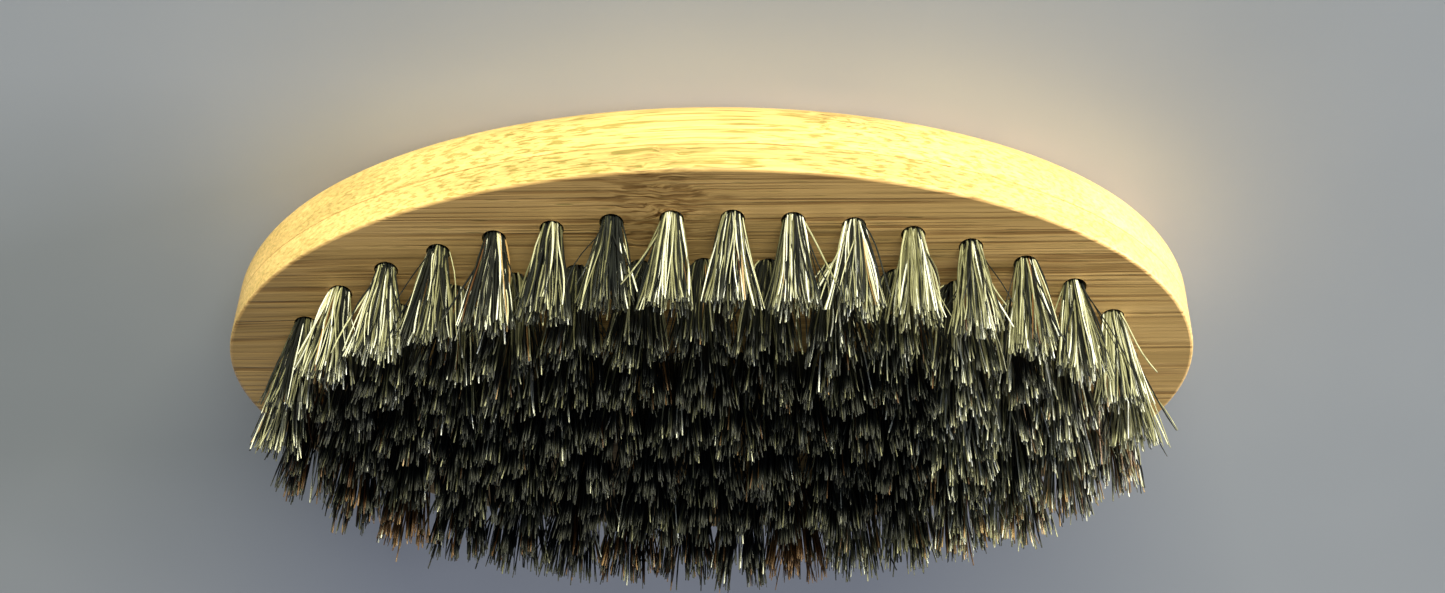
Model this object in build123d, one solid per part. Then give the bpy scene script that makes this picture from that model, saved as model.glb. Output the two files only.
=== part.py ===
from build123d import *
import math
import os

# An oval palm brush for a beard. The body is two plies of laminated bamboo, glued face to face.
# Tufts of boar bristle stand in blind holes drilled through the face ply into the back ply.
# Each tuft is folded in half over a flat metal anchor that bites into the wood at the hole's bottom.
#
# Frame: millimetres, +Z up. The brush lies on its flat back with the bristles up.
# The origin is at the middle of the back, X runs along the length and -Y is the front.

# Driving dimensions
BODY_LENGTH = 115.0
BODY_WIDTH = 60.0
BACK_PLY_THICKNESS = 11.6
FACE_PLY_THICKNESS = 4.4
BACK_EDGE_RADIUS = 8.0
FACE_EDGE_RADIUS = 0.4
BRISTLE_LENGTH = 14.5

HOLE_DIAMETER = 2.8
HOLE_DEPTH = 9.0
DRILL_POINT_ANGLE = 118.0

TUFT_ROOT_DIAMETER = 2.6
TUFT_TIP_DIAMETER = 6.3
TUFT_NECK = 0.8
TUFT_TRIM_ROUND = 0.35

ANCHOR_WIDTH = 3.4
ANCHOR_HEIGHT = 1.6
ANCHOR_THICKNESS = 0.35
ANCHOR_TOE = 0.5
FOLD_THICKNESS = 0.8

# Rings of tufts: name, half length, half width, number of tufts, first tuft's place in pitches, and
# roundness, which is 2 for an ellipse and more for an oval with fuller ends
RINGS = [
    ("outer_ring", 49.6, 22.6, 34, 0.0, 2.0),
    ("second_ring", 42.4, 15.2, 26, 0.5, 2.1),
    ("third_ring", 35.2, 7.8, 20, 0.0, 2.2),
]
CENTRE_ROW_COUNT = 8
CENTRE_ROW_PITCH = 7.2

# Heights above the surface that the brush lies on
GLUE_LINE = BACK_PLY_THICKNESS
FACE = BACK_PLY_THICKNESS + FACE_PLY_THICKNESS
TIPS = FACE + BRISTLE_LENGTH
HOLE_BOTTOM = FACE - HOLE_DEPTH
ANCHOR_BOTTOM = HOLE_BOTTOM + FOLD_THICKNESS

ARC_STEPS = 4000
QUARTERS = ["rear_right", "rear_left", "front_left", "front_right"]


def oval_points(half_length, half_width, roundness):
    """A closed oval as many short steps, from its right end towards the rear."""
    points = []
    for step in range(ARC_STEPS + 1):
        angle = 2.0 * math.pi * step / ARC_STEPS
        across = math.cos(angle)
        along = math.sin(angle)
        x = half_length * math.copysign(abs(across) ** (2.0 / roundness), across)
        y = half_width * math.copysign(abs(along) ** (2.0 / roundness), along)
        points.append((x, y))
    return points


def ring_centres(half_length, half_width, count, first, roundness):
    """Tuft centres at one pitch along the oval, measured along its line."""
    points = oval_points(half_length, half_width, roundness)
    travelled = [0.0]
    for start, end in zip(points, points[1:]):
        travelled.append(travelled[-1] + math.dist(start, end))
    pitch = travelled[-1] / count
    centres = []
    step = 0
    for index in range(count):
        wanted = (index + first) * pitch
        while travelled[step + 1] < wanted:
            step += 1
        centres.append(points[step])
    return centres


def row_centres(count, pitch):
    """Tuft centres in a straight row along X, in the middle of the brush."""
    middle = (count - 1) / 2.0
    return [((index - middle) * pitch, 0.0) for index in range(count)]


def oval_slab(bottom, thickness):
    """A slab of the brush's outline."""
    outline = Pos(0, 0, bottom) * Ellipse(BODY_LENGTH / 2.0, BODY_WIDTH / 2.0)
    return extrude(outline, thickness)


def bore_cutter(x, y):
    """The drilled hole's space, with the drill's point at its bottom."""
    radius = HOLE_DIAMETER / 2.0
    point_height = radius / math.tan(math.radians(DRILL_POINT_ANGLE / 2.0))
    outline = Polyline(
        (0, HOLE_BOTTOM - point_height),
        (radius, HOLE_BOTTOM),
        (radius, TIPS),
        (0, TIPS),
        close=True,
    )
    half = make_face(Plane.XZ * outline)
    return Pos(x, y, 0) * revolve(half, Axis.Z)


def anchor(x, y):
    """A flat strip of wire across the hole, with its two lower corners cut off as toes."""
    half = ANCHOR_WIDTH / 2.0
    top = ANCHOR_BOTTOM + ANCHOR_HEIGHT
    outline = Polyline(
        (-half + ANCHOR_TOE, ANCHOR_BOTTOM),
        (half - ANCHOR_TOE, ANCHOR_BOTTOM),
        (half, ANCHOR_BOTTOM + ANCHOR_TOE),
        (half, top),
        (-half, top),
        (-half, ANCHOR_BOTTOM + ANCHOR_TOE),
        close=True,
    )
    strip = extrude(make_face(Plane.YZ * outline), ANCHOR_THICKNESS / 2.0, both=True)
    return Pos(x, y, 0) * strip


def tuft(x, y):
    """One tuft: straight in its hole, then opening out to its flat-trimmed tips."""
    root = TUFT_ROOT_DIAMETER / 2.0
    tip = TUFT_TIP_DIAMETER / 2.0
    outline = Polyline(
        (0, HOLE_BOTTOM),
        (root, HOLE_BOTTOM),
        (root, FACE + TUFT_NECK),
        (tip, TIPS - TUFT_TRIM_ROUND),
        (tip - TUFT_TRIM_ROUND, TIPS),
        (0, TIPS),
        close=True,
    )
    half = make_face(Plane.XZ * outline)
    return Pos(x, y, 0) * revolve(half, Axis.Z)


def make_back_ply(centres):
    """The thick ply: a flat back with a generous round edge, and the blind ends of the holes."""
    slab = oval_slab(0.0, BACK_PLY_THICKNESS)
    back_edge = slab.edges().sort_by(Axis.Z)[0]
    slab = fillet(back_edge, BACK_EDGE_RADIUS)
    slab -= [bore_cutter(x, y) for x, y in centres]
    return slab - [anchor(x, y) for x, y in centres]


def make_face_ply(centres):
    """The thin ply that the bristles come out of, drilled right through."""
    slab = oval_slab(GLUE_LINE, FACE_PLY_THICKNESS)
    face_edge = slab.edges().sort_by(Axis.Z)[-1]
    slab = fillet(face_edge, FACE_EDGE_RADIUS)
    return slab - [bore_cutter(x, y) for x, y in centres]


def write(name, solids):
    """One file for one named node, holding its separate solids."""
    export_step(Compound(children=solids), f"parts/{name}.step")


def tufts_on_anchors(centres):
    """Tufts at these centres, each with a slot where it is folded over its anchor."""
    return [tuft(x, y) - anchor(x, y) for x, y in centres]


def write_ring(ring, count, first, centres):
    """A ring's anchors as one node and its tufts as four, one for each quarter of the brush."""
    write(f"{ring}_anchors", [anchor(x, y) for x, y in centres])
    for number, quarter in enumerate(QUARTERS):
        inside = [
            centre
            for index, centre in enumerate(centres)
            if int(len(QUARTERS) * (index + first) / count) == number
        ]
        write(f"{ring}_tufts_{quarter}", tufts_on_anchors(inside))


def write_row(centres):
    """The centre row's anchors as one node and its tufts as two, one on each side."""
    write("centre_row_anchors", [anchor(x, y) for x, y in centres])
    write("centre_row_tufts_left", tufts_on_anchors([c for c in centres if c[0] < 0]))
    write("centre_row_tufts_right", tufts_on_anchors([c for c in centres if c[0] > 0]))


os.makedirs("parts", exist_ok=True)

row = row_centres(CENTRE_ROW_COUNT, CENTRE_ROW_PITCH)
all_centres = list(row)
for ring, half_length, half_width, count, first, roundness in RINGS:
    centres = ring_centres(half_length, half_width, count, first, roundness)
    write_ring(ring, count, first, centres)
    all_centres += centres
write_row(row)
write("back_ply", [make_back_ply(all_centres)])
write("face_ply", [make_face_ply(all_centres)])
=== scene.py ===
import math

import bpy
import numpy as np
from mathutils import Matrix, Vector


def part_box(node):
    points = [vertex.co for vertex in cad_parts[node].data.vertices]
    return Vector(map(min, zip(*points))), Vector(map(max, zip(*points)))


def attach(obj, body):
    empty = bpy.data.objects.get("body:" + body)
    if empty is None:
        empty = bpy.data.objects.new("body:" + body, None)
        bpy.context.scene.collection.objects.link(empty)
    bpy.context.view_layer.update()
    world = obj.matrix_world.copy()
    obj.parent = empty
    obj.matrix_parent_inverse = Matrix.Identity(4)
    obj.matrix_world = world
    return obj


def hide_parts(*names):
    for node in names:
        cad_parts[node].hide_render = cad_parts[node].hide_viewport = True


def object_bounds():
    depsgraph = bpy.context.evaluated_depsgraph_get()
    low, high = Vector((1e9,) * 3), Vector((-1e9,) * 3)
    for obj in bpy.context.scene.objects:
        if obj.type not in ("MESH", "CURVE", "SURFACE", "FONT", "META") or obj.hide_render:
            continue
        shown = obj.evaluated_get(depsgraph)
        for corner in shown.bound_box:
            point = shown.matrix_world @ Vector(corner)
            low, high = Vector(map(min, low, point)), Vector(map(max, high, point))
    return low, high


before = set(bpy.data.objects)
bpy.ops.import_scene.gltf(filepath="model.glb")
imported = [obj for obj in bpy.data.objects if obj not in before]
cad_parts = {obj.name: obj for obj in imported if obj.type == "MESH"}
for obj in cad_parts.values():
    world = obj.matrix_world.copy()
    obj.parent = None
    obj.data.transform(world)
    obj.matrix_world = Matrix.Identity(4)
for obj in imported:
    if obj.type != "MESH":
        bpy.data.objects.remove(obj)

# A beard brush lying on its back: a two-ply bamboo body and 88 tufts of boar bristle, hair by hair.
# Lengths are in metres, as the frame's are. Lengths inside a material's texture space are in millimetres.

MM = 0.001
cad_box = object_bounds()
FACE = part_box("face_ply")[1].z
GLUE_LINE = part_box("face_ply")[0].z
TIPS = cad_box[1].z
BRISTLE_LENGTH = TIPS - FACE

# Camera: above the front, looking at the middle of the face, and turned upside down
CAMERA_DISTANCE = 0.306
CAMERA_FROM_VERTICAL = math.radians(44.75)
CAMERA_TURN = math.radians(-3.2)
CAMERA_ROLL = math.radians(1.78)
LENS = 63.8
SHIFT = (0.0097, 0.0443)
NEAREST_SEEN = 0.01

# Lights: name, place, length and width, power in watts, and colour
LIGHTS = [
    ("key", (-0.45, -2.3, 0.27), (2.2, 0.40), 156.0, (1.0, 0.99, 0.66)),
    ("side", (-1.18, -0.24, 0.11), (0.5, 0.25), 29.0, (0.97, 0.98, 1.0)),
    ("left", (1.1, -0.25, 0.12), (0.5, 0.2), 3.0, (1.0, 0.95, 0.96)),
    ("rear", (0.6, 1.6, 0.30), (1.2, 0.45), 5.0, (0.94, 0.98, 1.0)),
    ("fill", (-0.10, -0.85, 0.95), (0.7, 0.7), 3.0, (0.78, 0.90, 1.0)),
]
LIGHT_AIM = (0.0, 0.0, 0.015)
SKY_COLOUR = (0.72, 0.90, 1.0, 1.0)
SKY_STRENGTH = 0.045
FLOOR_REACH = 3.0

# Hairs. Their thickness varies within the range, as a share of the radius. It narrows by TAPER along the
# whole hair, and by END_TAPER more after END_START.
FIRST_SEED = 100
HAIRS_PER_TUFT = 140
HAIR_STEPS = 8
HAIR_SIDES = 5
HAIR_RADIUS = 0.108 * MM
THICKNESS_RANGE = (0.6, 1.25)
TAPER = 0.15
END_TAPER = 0.25
END_START = 0.85

# Tufts. A free tuft is one of the outer ring's in front of this Y. The others are crowded, and open early.
# Points of a CAD tuft that are nearer to each other than SAME_TUFT belong to the same one.
FREE_UNTIL = 6.0 * MM
SAME_TUFT = 3.0 * MM

# Where hairs start and end. The root and tip spreads are a tuft's radii, and a tip depth is its extent
# along Y as a share of that along X. Reaches are shares of a radius, and turns are in radians. A hair opens
# with its height to the power of the opening.
ROOT_DEPTH = 1.2 * MM
ROOT_SPREAD = 1.02 * MM
FREE_TIP_SPREAD = 3.4 * MM
CROWDED_TIP_SPREAD = 4.15 * MM
FREE_TIP_DEPTH = 0.60
CROWDED_TIP_DEPTH = 0.72
REACH_SPREAD = 0.10
MOST_REACH = 1.12
TURN_SPREAD = 0.28
FREE_OPENING = 1.12
CROWDED_OPENING = (0.48, 0.82)
SWAY = 0.22 * MM
WAVE = 0.11 * MM

# Locks, into which a tuft's hairs gather
LOCKS = 13
LOCK_REACH_SQUARED = (0.05, 1.15)
FREE_LOCK_PULL = 0.25
CROWDED_LOCK_PULL = 0.38

# Differences in length, as shares of a bristle's length
MEAN_LENGTH = -0.035
LENGTH_SPREAD = 0.03
LOCK_LENGTH_SPREAD = 0.035
TUFT_LENGTH_SPREAD = 0.012
RIM_SLOPE = 0.035
LENGTH_LIMITS = (-0.2, 0.04)

# Stray hairs
STRAY_SHARE = 0.04
STRAY_REACH = (1.1, 1.7)
STRAY_TURN_SPREAD = 0.8
STRAY_LENGTH = (0.75, 1.0)
STRAY_SWAY = 1.6

# Tones run from 0 for black to 1 for cream. Free tufts are pale, and so are those beyond PALE_FROM. The
# others get darker mixes, painted shade. Outer tufts on the -X side get the palest mix, painted light.
# Each tuft draws its share of near-black hairs, and of cream ones among the rest.
PALE_FROM = -28.0 * MM
LIT_SIDE_FROM = -15.0 * MM
LIT_SIDE_DARK_SHARES = [0.34, 0.26, 0.18]
PALE_DARK_SHARES = [0.66, 0.56, 0.46, 0.36]
SHADED_DARK_SHARES = [0.84, 0.80, 0.76, 0.70]
PALE_CREAM_SHARES = [0.28, 0.40, 0.55]
SHADED_CREAM_SHARES = [0.06, 0.13, 0.22]
NEAR_BLACK = 0.16
NEAR_BLACK_SPREAD = 0.09
PALE_MIDDLING = 0.58
SHADED_MIDDLING = 0.53
MIDDLING_SPREAD = 0.08
CREAM = 0.86
CREAM_SPREAD = 0.10

# Towards the rear, deep tufts have more near-black hairs and duller middling ones: more painted shade
PAINTED_SHADE_FROM = -14.0 * MM
PAINTED_SHADE_DARK = 0.14
PAINTED_SHADE_DARK_OVER = 20.0 * MM
PAINTED_SHADE_DULLER = 0.085
PAINTED_SHADE_DULLER_OVER = 12.0 * MM

# Amber hairs: the share of them in a tuft, which along the rear of the outer ring is drawn. There the
# larger shares are partly real amber hair and partly a painted glow of backlit hairs.
AMBER_SHARE = 0.012
REAR_AMBER_AND_GLOW_SHARES = [0.08, 0.25, 0.85]
REAR_AMBER_AND_GLOW_ODDS = [0.45, 0.35, 0.20]
AMBER_STRENGTH = 0.75

# The map for exported colours: rows of cells, one cell for each hair, and the gap left inside a cell's sides
BAKE_ROWS = 8
BAKE_SIDE_GAP = 0.1
BAKE_END_GAP = 0.02

# Colours. The first part of each pair is its place on the scale that it follows.
BAMBOO_TONES = [
    (0.34, (0.42, 0.285, 0.105)),
    (0.5, (0.60, 0.400, 0.152)),
    (0.64, (0.74, 0.515, 0.215)),
]
BRISTLE_TONES = [
    (0.0, (0.0040, 0.0052, 0.0070)),
    (0.30, (0.0110, 0.0125, 0.0115)),
    (0.52, (0.120, 0.114, 0.062)),
    (0.75, (0.445, 0.428, 0.285)),
    (1.0, (0.760, 0.755, 0.720)),
]
AMBER_TONES = [(0.0, (0.06, 0.018, 0.004)), (1.0, (0.50, 0.27, 0.10))]
PALER_TIP_TONE = (0.40, 0.38, 0.27)
WIRE_TONES = [(0.3, (0.34, 0.33, 0.31)), (0.7, (0.60, 0.59, 0.56))]
FLOOR_TONES = [(0.3, (0.435, 0.455, 0.540)), (0.7, (0.492, 0.508, 0.592))]

# Shades that multiply the bamboo's colour
FIBRE_LINE = (0.38, 0.29, 0.20)
CUT_STREAK = (0.46, 0.52, 0.34)
CUT_DASH = (0.42, 0.51, 0.36)
# painted shade: the flat faces' redder tint, and their darkening towards +X
FLAT_FACE_SHADE_TINT = (1.02, 0.955, 1.02)
PAINTED_SHADE_PLUS_X = (0.80, 0.79, 0.80)
KNUCKLE = (0.34, 0.25, 0.15)
GLUE = (0.50, 0.30, 0.12)

# Bamboo. Its nodes are called knuckles here, and each has its middle and its reach along each axis, in
# millimetres. An offset moves a ply within the patterns, and the dashes are its short dashes' strength.
FACE_KNUCKLES = [((5.0, -25.0, 15.0), (11.0, 12.0, 9.0)), ((-22.0, 24.0, 15.0), (8.0, 9.0, 9.0))]
BACK_KNUCKLES = [((-16.0, -28.5, 5.5), (8.0, 7.0, 5.0)), ((28.0, 12.0, 0.0), (6.0, 10.0, 6.0))]
FACE_OFFSET = (3.0, 1.0, 2.0)
BACK_OFFSET = (11.0, 7.0, 5.0)
FACE_DASHES = 0.85
BACK_DASHES = 0.55
LINE_STRENGTH = 0.85
STREAK_STRENGTH = 0.95


# ---------------------------------------------------------------- shader helpers

def add(tree, kind, inputs=None, **settings):
    """A shader node. Each input is set to a value, or linked if it is given another node's socket."""
    made = tree.nodes.new("ShaderNode" + kind)
    for name, value in settings.items():
        setattr(made, name, value)
    for name, value in (inputs or {}).items():
        if isinstance(value, bpy.types.NodeSocket):
            tree.links.new(value, made.inputs[name])
        else:
            made.inputs[name].default_value = value
    return made


def maths(tree, operation, first, second=0.0):
    """The result of one arithmetic node."""
    return add(tree, "Math", {0: first, 1: second}, operation=operation).outputs[0]


def product(tree, first, *others):
    """Two or more values multiplied."""
    for other in others:
        first = maths(tree, "MULTIPLY", first, other)
    return first


def weighted(tree, base, *terms):
    """A base value plus each (value, weight) term's value times its weight."""
    for value, weight in terms:
        base = maths(tree, "ADD", base, product(tree, value, weight))
    return base


def centred(tree, value):
    """Noise between 0 and 1, moved to lie around 0."""
    return maths(tree, "SUBTRACT", value, 0.5)


def ramp(tree, factor, stops):
    """A colour or a grey that follows factor through (place, colour) stops."""
    made = add(tree, "ValToRGB", {"Fac": factor})
    points = made.color_ramp.elements
    while len(points) < len(stops):
        points.new(0.5)
    for point, (place, colour) in zip(points, stops):
        point.position = place
        point.color = (*colour, 1.0) if isinstance(colour, tuple) else (colour, colour, colour, 1.0)
    return made.outputs["Color"]


def fade(tree, value, start, end, before, after, kind="LINEAR"):
    """A value that goes from before to after while the given one goes from start to end."""
    inputs = {"Value": value, "From Min": start, "From Max": end, "To Min": before, "To Max": after}
    return add(tree, "MapRange", inputs, interpolation_type=kind).outputs[0]


def blend(tree, mode, factor, first, second):
    """Two colours mixed in one of the blend modes."""
    made = add(tree, "MixRGB", {"Fac": factor, "Color1": first, "Color2": second}, blend_type=mode)
    return made.outputs["Color"]


def tint(tree, colour, factor, shade):
    """A colour multiplied by a shade, by as much as factor says."""
    return blend(tree, "MULTIPLY", factor, colour, (*shade, 1.0))


def stretched(tree, place, scale, offset=(0.0, 0.0, 0.0)):
    """The texture position scaled along each axis."""
    made = add(tree, "Mapping", {"Vector": place, "Scale": scale, "Location": offset})
    return made.outputs["Vector"]


def noise(tree, place, detail, roughness=0.55):
    """Soft noise between 0 and 1 at the position given, which sets its scale."""
    inputs = {"Vector": place, "Scale": 1.0, "Detail": detail, "Roughness": roughness}
    return add(tree, "TexNoise", inputs).outputs["Fac"]


def bump(tree, height, strength, distance):
    """A surface normal tilted by a height."""
    return add(tree, "Bump", {"Height": height, "Strength": strength, "Distance": distance}).outputs[0]


def millimetres(tree):
    """Object coordinates in millimetres."""
    place = add(tree, "TexCoord").outputs["Object"]
    return stretched(tree, place, (1000.0, 1000.0, 1000.0))


def new_material(name):
    """A material and its empty node tree."""
    material = bpy.data.materials.new(name)
    material.use_nodes = True
    material.node_tree.nodes.clear()
    return material, material.node_tree


def surface(tree, inputs):
    """The tree's Principled shader, with its inputs, and its output."""
    shader = add(tree, "BsdfPrincipled", inputs)
    add(tree, "OutputMaterial", {"Surface": shader.outputs[0]})


# ---------------------------------------------------------------- bamboo

def grain(tree, place, offset, along, across, detail, roughness=0.55):
    """Noise drawn out along the fibres. along and across are its scales, per millimetre."""
    return noise(tree, stretched(tree, place, (along, across, across), offset), detail, roughness)


def knuckle_mask(tree, parts, knuckles):
    """1 at a bamboo node, where the fibres swell and cross, fading to 0 at its reach along each axis."""
    whole = None
    for centre, reach in knuckles:
        nears = []
        for part, middle, far in zip(parts, centre, reach):
            distance = maths(tree, "ABSOLUTE", maths(tree, "SUBTRACT", part, middle))
            nears.append(fade(tree, distance, 0.0, far, before=1.0, after=0.0, kind="SMOOTHSTEP"))
        mask = product(tree, *nears)
        whole = mask if whole is None else maths(tree, "MAXIMUM", whole, mask)
    return whole


def fibre_space(tree, place, parts, knuckle, offset):
    """The texture position, pushed aside so that the fibres wander a little and swirl at a bamboo node."""
    drift = centred(tree, grain(tree, place, offset, along=0.02, across=0.08, detail=2.0))
    swirl = centred(tree, grain(tree, place, offset, along=0.14, across=0.3, detail=2.0))
    push = weighted(tree, 0.0, (drift, 1.6), (product(tree, swirl, knuckle), 4.0))
    return add(tree, "CombineXYZ", {
        "X": parts[0],
        "Y": maths(tree, "ADD", parts[1], push),
        "Z": maths(tree, "ADD", parts[2], push),
    }).outputs[0]


def face_and_wall(tree):
    """Masks of the flat faces, which show whole fibres, and of the wall, which shows them cut."""
    normal = add(tree, "NewGeometry").outputs["Normal"]
    facing = maths(tree, "ABSOLUTE", add(tree, "SeparateXYZ", {"Vector": normal}).outputs["Z"])
    flat = ramp(tree, facing, [(0.5, 0.0), (0.85, 1.0)])
    return flat, maths(tree, "SUBTRACT", 1.0, flat)


def fibre_lines(tree, fibres, offset, presence, flat):
    """A mask of thin lines along the fibres, on the flat faces."""
    contour = grain(tree, fibres, offset, along=0.0045, across=1.2, detail=1.0)
    from_line = maths(tree, "ABSOLUTE", centred(tree, contour))
    line = ramp(tree, from_line, [(0.0, 1.0), (0.04, 0.75), (0.085, 0.0)])
    return product(tree, line, flat, ramp(tree, presence, [(0.38, 0.15), (0.62, 1.0)]))


def cut_bundles(tree, parts, fibres, offset, streaks, presence, wall):
    """Masks of long streaks on the wall and of short dashes all over, both fainter towards the ends."""
    outward = maths(tree, "ABSOLUTE", parts[0])
    faint = fade(tree, outward, start=22.0, end=48.0, before=1.0, after=0.5)
    streak = grain(tree, fibres, offset, along=0.05, across=2.8, detail=3.0)
    streak = product(tree, ramp(tree, streak, [(0.50, 0.0), (0.60, 1.0)]), wall, faint)
    place = stretched(tree, fibres, (0.26, 2.0, 2.0), offset)
    bundle = add(tree, "TexVoronoi", {"Vector": place, "Scale": 1.0, "Randomness": 1.0}).outputs["Distance"]
    dash = product(
        tree,
        ramp(tree, bundle, [(0.16, 1.0), (0.32, 0.0)]),
        ramp(tree, streaks, [(0.45, 0.0), (0.62, 1.0)]),
        ramp(tree, presence, [(0.42, 0.3), (0.60, 1.0)]),
        faint,
    )
    return streak, dash


def bamboo(name, offset, knuckles, dashes):
    """Laminated bamboo with its fibres along X. dashes is the strength of the short dashes."""
    material, tree = new_material(name)
    place = millimetres(tree)
    parts = add(tree, "SeparateXYZ", {"Vector": place}).outputs
    knuckle = knuckle_mask(tree, parts, knuckles)
    fibres = fibre_space(tree, place, parts, knuckle, offset)
    flat, wall = face_and_wall(tree)

    # broad tone and fine streaks
    broad = grain(tree, fibres, offset, along=0.012, across=0.13, detail=2.0)
    streaks = grain(tree, fibres, offset, along=0.03, across=2.3, detail=4.0, roughness=0.6)
    colour = ramp(tree, weighted(tree, 0.0, (broad, 0.45), (streaks, 0.55)), BAMBOO_TONES)

    # whole fibres on the flat faces, and cut ones on the wall, stronger in some places than in others
    presence = grain(tree, fibres, offset, along=0.05, across=0.9, detail=2.0)
    line = fibre_lines(tree, fibres, offset, presence, flat)
    streak, dash = cut_bundles(tree, parts, fibres, offset, streaks, presence, wall)
    colour = tint(tree, colour, product(tree, line, LINE_STRENGTH), FIBRE_LINE)
    colour = tint(tree, colour, product(tree, streak, STREAK_STRENGTH), CUT_STREAK)
    colour = tint(tree, colour, product(tree, dash, dashes), CUT_DASH)

    # the flat faces get a redder tint, painted shade for the browner look of a face in shade,
    # and are darker towards +X, painted shade where less light falls
    colour = tint(tree, colour, flat, FLAT_FACE_SHADE_TINT)
    shade_towards_plus_x = fade(tree, parts[0], start=-50.0, end=50.0, before=0.0, after=1.0)
    colour = tint(tree, colour, product(tree, shade_towards_plus_x, flat), PAINTED_SHADE_PLUS_X)

    # a bamboo node is browner, with short smudges along the fibres
    smudge = grain(tree, fibres, offset, along=0.21, across=1.9, detail=3.0, roughness=0.6)
    smudge = ramp(tree, smudge, [(0.46, 0.08), (0.58, 1.0)])
    brown = product(tree, knuckle, smudge, ramp(tree, wall, [(0.0, 1.0), (1.0, 0.65)]))
    colour = tint(tree, colour, brown, KNUCKLE)

    # the glue line between the plies
    gap = maths(tree, "ABSOLUTE", maths(tree, "SUBTRACT", parts[2], GLUE_LINE / MM))
    glue = ramp(tree, gap, [(0.04, 1.0), (0.14, 0.0)])
    glue = product(tree, glue, ramp(tree, broad, [(0.4, 0.35), (0.6, 0.8)]))
    colour = tint(tree, colour, glue, GLUE)

    height = weighted(tree, 0.0, (streaks, 0.4), (line, -0.5), (dash, -0.4))
    surface(tree, {
        "Base Color": colour,
        "Roughness": weighted(tree, 0.38, (streaks, 0.25), (line, 0.15)),
        "Normal": bump(tree, height, strength=0.35, distance=0.12 * MM),
        "Specular IOR Level": 0.35,
    })
    return material


# ---------------------------------------------------------------- other materials

def bristle():
    """Boar bristle. A hair's mesh holds its own tone, its amber share and how far along it a point is."""
    material, tree = new_material("bristle")
    tone, amber, along = (
        add(tree, "Attribute", attribute_name=name).outputs["Fac"] for name in ("tone", "amber", "along")
    )
    place = millimetres(tree)
    mottle = noise(tree, stretched(tree, place, (2.2, 2.2, 0.35)), detail=2.0)
    shade = weighted(tree, tone, (centred(tree, mottle), 0.30))
    colour = ramp(tree, shade, BRISTLE_TONES)
    colour = blend(tree, "MIX", amber, colour, ramp(tree, shade, AMBER_TONES))
    # each hair grows a little paler over its last part
    paler_tip = ramp(tree, along, [(0.88, 0.0), (1.0, 0.06)])
    fine = noise(tree, stretched(tree, place, (9.0, 9.0, 3.0)), detail=2.0)
    surface(tree, {
        "Base Color": blend(tree, "MIX", paler_tip, colour, (*PALER_TIP_TONE, 1.0)),
        "Roughness": ramp(tree, mottle, [(0.3, 0.40), (0.7, 0.58)]),
        "Normal": bump(tree, fine, strength=0.25, distance=0.03 * MM),
        "Specular IOR Level": 0.22,
    })
    return material


def anchor_wire():
    """Flattened plain wire, drawn and slightly dull."""
    material, tree = new_material("anchor_wire")
    drawn = noise(tree, stretched(tree, millimetres(tree), (6.0, 0.8, 9.0)), detail=3.0)
    surface(tree, {
        "Base Color": ramp(tree, drawn, WIRE_TONES),
        "Roughness": ramp(tree, drawn, [(0.3, 0.30), (0.7, 0.5)]),
        "Metallic": 1.0,
    })
    return material


def floor_finish():
    """A pale matt studio surface."""
    material, tree = new_material("pale_floor")
    cloud = noise(tree, stretched(tree, millimetres(tree), (0.012, 0.012, 0.012)), detail=3.0)
    surface(tree, {"Base Color": ramp(tree, cloud, FLOOR_TONES), "Roughness": 0.85})
    return material


# ---------------------------------------------------------------- tufts

def tuft_centres(node):
    """The middle of each of a node's tufts, from the part of it that stands in its hole."""
    found = []
    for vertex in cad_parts[node].data.vertices:
        if vertex.co.z > FACE:
            continue
        spot = vertex.co.xy
        for group in found:
            if (group[0] - spot).length < SAME_TUFT:
                group.append(spot)
                break
        else:
            found.append([spot])
    return [(np.min(group, axis=0) + np.max(group, axis=0)) / 2.0 for group in map(np.array, found)]


def hair_tips(turn, reach, free, random):
    """Each tip's place in its tuft as a complex number, its lock's extra length, and whether it strays."""
    count = len(turn)
    tip_reach = np.clip(reach + random.normal(0.0, REACH_SPREAD, count), 0.0, MOST_REACH)
    tip_turn = turn + random.normal(0.0, TURN_SPREAD, count)
    tip = tip_reach * np.exp(1j * tip_turn)

    # hairs gather in locks, each with its own length, so that dark gaps open between them
    lock_reach = np.sqrt(random.uniform(*LOCK_REACH_SQUARED, LOCKS))
    locks = lock_reach * np.exp(2j * math.pi * random.uniform(0.0, 1.0, LOCKS))
    nearest = np.argmin(np.abs(tip[:, None] - locks[None]), axis=1)
    tip += (FREE_LOCK_PULL if free else CROWDED_LOCK_PULL) * (locks[nearest] - tip)
    extra = random.normal(0.0, LOCK_LENGTH_SPREAD, LOCKS)[nearest]
    extra = extra + random.normal(0.0, TUFT_LENGTH_SPREAD)

    stray = random.uniform(0.0, 1.0, count) < STRAY_SHARE
    stray_reach = random.uniform(*STRAY_REACH, count)
    stray_turn = tip_turn + random.normal(0.0, STRAY_TURN_SPREAD, count)
    return np.where(stray, stray_reach * np.exp(1j * stray_turn), tip), extra, stray


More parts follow.
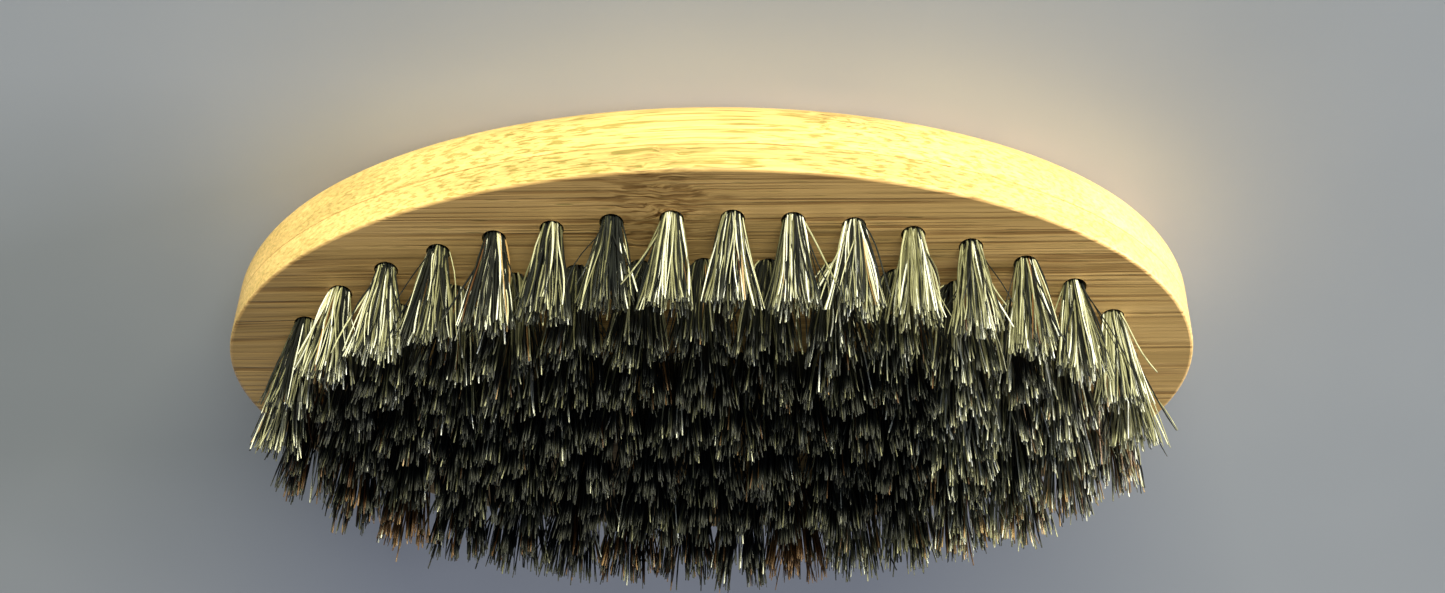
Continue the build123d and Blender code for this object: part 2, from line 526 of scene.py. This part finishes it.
def hair_lines(centre, free, random):
    """The centrelines of one tuft's hairs, as an array of hairs by steps by XYZ."""
    count = HAIRS_PER_TUFT
    turn = random.uniform(0.0, 2.0 * math.pi, count)
    reach = np.sqrt(random.uniform(0.0, 1.0, count))
    tip, extra, stray = hair_tips(turn, reach, free, random)

    # a free tuft is a little longer on its front side
    if free:
        extra = extra - RIM_SLOPE * tip.imag
    length = 1.0 + np.clip(random.normal(MEAN_LENGTH, LENGTH_SPREAD, count) + extra, *LENGTH_LIMITS)
    length = BRISTLE_LENGTH * np.where(stray, length * random.uniform(*STRAY_LENGTH, count), length)

    # a tuft opens more across its anchor, which lies along Y, than along it
    spread = FREE_TIP_SPREAD if free else CROWDED_TIP_SPREAD
    depth = FREE_TIP_DEPTH if free else CROWDED_TIP_DEPTH
    tip = spread * np.stack([tip.real, depth * tip.imag], axis=1)
    root = ROOT_SPREAD * reach[:, None] * np.stack([np.cos(turn), np.sin(turn)], axis=1)

    step = np.linspace(0.0, 1.0, HAIR_STEPS)[None, :]
    opening = step ** (FREE_OPENING if free else random.uniform(*CROWDED_OPENING, count)[:, None])
    sway = random.normal(0.0, SWAY, (count, 2)) * np.where(stray, STRAY_SWAY, 1.0)[:, None]
    wave = random.normal(0.0, WAVE, (count, 2))
    bow = np.sin(math.pi * step)[:, :, None] * sway[:, None, :]
    bow = bow + np.sin(2.0 * math.pi * step)[:, :, None] * wave[:, None, :]
    plan = centre + root[:, None, :] + (tip - root)[:, None, :] * opening[:, :, None] + bow
    height = FACE - ROOT_DEPTH + (length + ROOT_DEPTH)[:, None] * step
    return np.concatenate([plan, height[:, :, None]], axis=2)


def hair_tubes(lines, random):
    """Vertices of a tapered tube round each centreline: hairs by steps by sides by XYZ."""
    along = np.gradient(lines, axis=1)
    along /= np.linalg.norm(along, axis=2, keepdims=True)
    side = np.cross(along, (0.0, 1.0, 0.0))
    side /= np.linalg.norm(side, axis=2, keepdims=True)
    other = np.cross(along, side)
    step = np.linspace(0.0, 1.0, HAIR_STEPS)
    near_end = np.clip((step - END_START) / (1.0 - END_START), 0.0, 1.0)
    taper = 1.0 - TAPER * step - END_TAPER * near_end
    thick = HAIR_RADIUS * random.uniform(*THICKNESS_RANGE, len(lines))
    radius = (thick[:, None] * taper[None, :])[:, :, None, None]
    turn = np.arange(HAIR_SIDES) * 2.0 * math.pi / HAIR_SIDES
    ring = np.cos(turn)[:, None] * side[:, :, None, :] + np.sin(turn)[:, None] * other[:, :, None, :]
    return lines[:, :, None, :] + radius * ring


def tube_faces(count):
    """The faces of count closed tubes, as lists of vertex numbers: sides first, then both ends."""
    ring = np.arange(HAIR_SIDES)
    after = (ring + 1) % HAIR_SIDES
    sides = []
    for step in range(HAIR_STEPS - 1):
        low = step * HAIR_SIDES
        high = low + HAIR_SIDES
        sides.append(np.stack([low + ring, low + after, high + after, high + ring], axis=1))
    sides = np.concatenate(sides)
    last = (HAIR_STEPS - 1) * HAIR_SIDES
    start = np.arange(count) * HAIR_STEPS * HAIR_SIDES
    faces = (start[:, None, None] + sides[None]).reshape(-1, 4).tolist()
    for first in start:
        faces.append((first + ring[::-1]).tolist())
        faces.append((first + last + ring).tolist())
    return faces


def bake_map(mesh, count):
    """A UV map that gives each hair its own narrow cell, root at the bottom, for the exported colours."""
    columns = math.ceil(count / BAKE_ROWS)
    per_hair = HAIR_STEPS * HAIR_SIDES
    vertex = np.zeros(len(mesh.loops), np.int32)
    mesh.loops.foreach_get("vertex_index", vertex)
    hair = vertex // per_hair
    step = (vertex % per_hair) // HAIR_SIDES
    across = (vertex % HAIR_SIDES) / (HAIR_SIDES - 1)
    along = step / (HAIR_STEPS - 1)
    u = (hair % columns + BAKE_SIDE_GAP + (1.0 - 2.0 * BAKE_SIDE_GAP) * across) / columns
    v = (hair // columns + BAKE_END_GAP + (1.0 - 2.0 * BAKE_END_GAP) * along) / BAKE_ROWS
    layer = mesh.uv_layers.new(name="OFBake")
    layer.data.foreach_set("uv", np.stack([u, v], axis=1).astype(np.float32).ravel())


def rearward(centre, over):
    """How far towards the rear a tuft stands, from 0 to 1 over the distance given."""
    return np.clip((centre[1] - PAINTED_SHADE_FROM) / over, 0.0, 1.0)


def hair_tones(centre, outer, free, random):
    """Each hair's tone, from black to cream, and its amber share, for one tuft."""
    count = HAIRS_PER_TUFT
    pale = free or centre[0] < PALE_FROM
    # painted light: outer tufts on the -X side, towards the side lamp, get the palest mix
    if outer and centre[0] < LIT_SIDE_FROM:
        dark = random.choice(LIT_SIDE_DARK_SHARES)
    elif pale:
        dark = random.choice(PALE_DARK_SHARES)
    else:
        # painted shade: deep tufts get darker mixes, darker and duller still towards the rear
        dark = random.choice(SHADED_DARK_SHARES) + PAINTED_SHADE_DARK * rearward(centre, PAINTED_SHADE_DARK_OVER)
    middling = PALE_MIDDLING if pale else SHADED_MIDDLING - PAINTED_SHADE_DULLER * rearward(centre, PAINTED_SHADE_DULLER_OVER)
    cream = random.choice(PALE_CREAM_SHARES if pale else SHADED_CREAM_SHARES)

    kinds = random.uniform(0.0, 1.0, count)
    dark_tones = random.normal(NEAR_BLACK, NEAR_BLACK_SPREAD, count)
    middling_tones = random.normal(middling, MIDDLING_SPREAD, count)
    tones = np.where(kinds < dark, dark_tones, middling_tones)
    cream_tones = random.normal(CREAM, CREAM_SPREAD, count)
    tones = np.where(kinds > 1.0 - cream * (1.0 - dark), cream_tones, tones)

    # along the rear of the outer ring, amber is partly a painted glow of backlit hairs
    amber = random.choice(REAR_AMBER_AND_GLOW_SHARES, p=REAR_AMBER_AND_GLOW_ODDS) if outer and not free else AMBER_SHARE
    ambers = np.where(random.uniform(0.0, 1.0, count) < amber, AMBER_STRENGTH, 0.0)
    return np.clip(tones, 0.0, 1.0), ambers


def make_tufts(node, material, seed):
    """Every hair of one node's tufts as one piece."""
    random = np.random.default_rng(seed)
    outer = node.startswith("outer_ring")
    tubes, tones, ambers = [], [], []
    for centre in tuft_centres(node):
        free = outer and centre[1] < FREE_UNTIL
        tone, amber = hair_tones(centre, outer, free, random)
        tones.append(tone)
        ambers.append(amber)
        tubes.append(hair_tubes(hair_lines(centre, free, random), random))
    tubes = np.concatenate(tubes)
    count = len(tubes)
    per_hair = HAIR_STEPS * HAIR_SIDES
    mesh = bpy.data.meshes.new(node.replace("tufts", "bristles"))
    mesh.from_pydata(tubes.reshape(-1, 3), [], tube_faces(count))
    for name, values in (
        ("tone", np.repeat(np.concatenate(tones), per_hair)),
        ("amber", np.repeat(np.concatenate(ambers), per_hair)),
        ("along", np.tile(np.repeat(np.linspace(0.0, 1.0, HAIR_STEPS), HAIR_SIDES), count)),
    ):
        mesh.attributes.new(name, "FLOAT", "POINT").data.foreach_set("value", values.astype(np.float32))
    bake_map(mesh, count)
    mesh.shade_smooth()
    mesh.materials.append(material)
    piece = bpy.data.objects.new(mesh.name, mesh)
    bpy.context.scene.collection.objects.link(piece)
    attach(piece, "root")
    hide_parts(node)


# ---------------------------------------------------------------- build

def finish_node(node, material):
    """A CAD node keeps its shape and gets a material."""
    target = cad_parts[node]
    target.data.materials.clear()
    target.data.materials.append(material)


def make_brush():
    """The plies and anchors with their materials, and hairs in place of the CAD tufts."""
    finish_node("face_ply", bamboo("bamboo_face_ply", FACE_OFFSET, FACE_KNUCKLES, FACE_DASHES))
    finish_node("back_ply", bamboo("bamboo_back_ply", BACK_OFFSET, BACK_KNUCKLES, BACK_DASHES))
    wire = anchor_wire()
    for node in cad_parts:
        if node.endswith("anchors"):
            finish_node(node, wire)
    boar = bristle()
    tuft_nodes = sorted(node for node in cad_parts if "tufts" in node)
    for number, node in enumerate(tuft_nodes):
        make_tufts(node, boar, FIRST_SEED + number)


def make_floor():
    """A flat pale floor, which reaches far enough that no edge shows."""
    mesh = bpy.data.meshes.new("floor")
    corners = [(x * FLOOR_REACH, y * FLOOR_REACH, 0.0) for x, y in ((-1, -1), (1, -1), (1, 1), (-1, 1))]
    mesh.from_pydata(corners, [], [(0, 1, 2, 3)])
    mesh.materials.append(floor_finish())
    floor = bpy.data.objects.new("floor", mesh)
    bpy.context.scene.collection.objects.link(floor)


def make_camera():
    """The camera, aimed at the middle of the face, with its own up nearly straight down."""
    target = Vector((0.0, 0.0, FACE))
    away = Vector((
        math.sin(CAMERA_FROM_VERTICAL) * math.sin(CAMERA_TURN),
        -math.sin(CAMERA_FROM_VERTICAL) * math.cos(CAMERA_TURN),
        math.cos(CAMERA_FROM_VERTICAL),
    ))
    up = Vector((0.0, 0.0, -1.0))
    up = (up - up.dot(away) * away).normalized()
    right = up.cross(away)
    rolled_right = math.cos(CAMERA_ROLL) * right + math.sin(CAMERA_ROLL) * up
    rolled_up = math.cos(CAMERA_ROLL) * up - math.sin(CAMERA_ROLL) * right
    data = bpy.data.cameras.new("camera")
    data.lens = LENS
    data.shift_x, data.shift_y = SHIFT
    data.clip_start = NEAREST_SEEN
    camera = bpy.data.objects.new("camera", data)
    turned = Matrix((rolled_right, rolled_up, away)).transposed().to_4x4()
    camera.matrix_world = Matrix.Translation(target + CAMERA_DISTANCE * away) @ turned
    bpy.context.scene.collection.objects.link(camera)
    bpy.context.scene.camera = camera


def make_light(name, place, size, power, colour):
    """A soft rectangular studio light, aimed at the middle of the brush."""
    data = bpy.data.lights.new(name, "AREA")
    data.shape = "RECTANGLE"
    data.size, data.size_y = size
    data.energy = power
    data.color = colour
    light = bpy.data.objects.new(name, data)
    light.location = place
    light.rotation_euler = (Vector(LIGHT_AIM) - Vector(place)).to_track_quat("-Z", "Y").to_euler()
    bpy.context.scene.collection.objects.link(light)


def make_sky():
    """A faint even light from all around."""
    world = bpy.data.worlds.new("studio")
    world.use_nodes = True
    background = world.node_tree.nodes["Background"]
    background.inputs["Color"].default_value = SKY_COLOUR
    background.inputs["Strength"].default_value = SKY_STRENGTH
    bpy.context.scene.world = world


make_brush()
make_floor()
make_camera()
for light in LIGHTS:
    make_light(*light)
make_sky()
bpy.context.scene.view_settings.view_transform = "Standard"
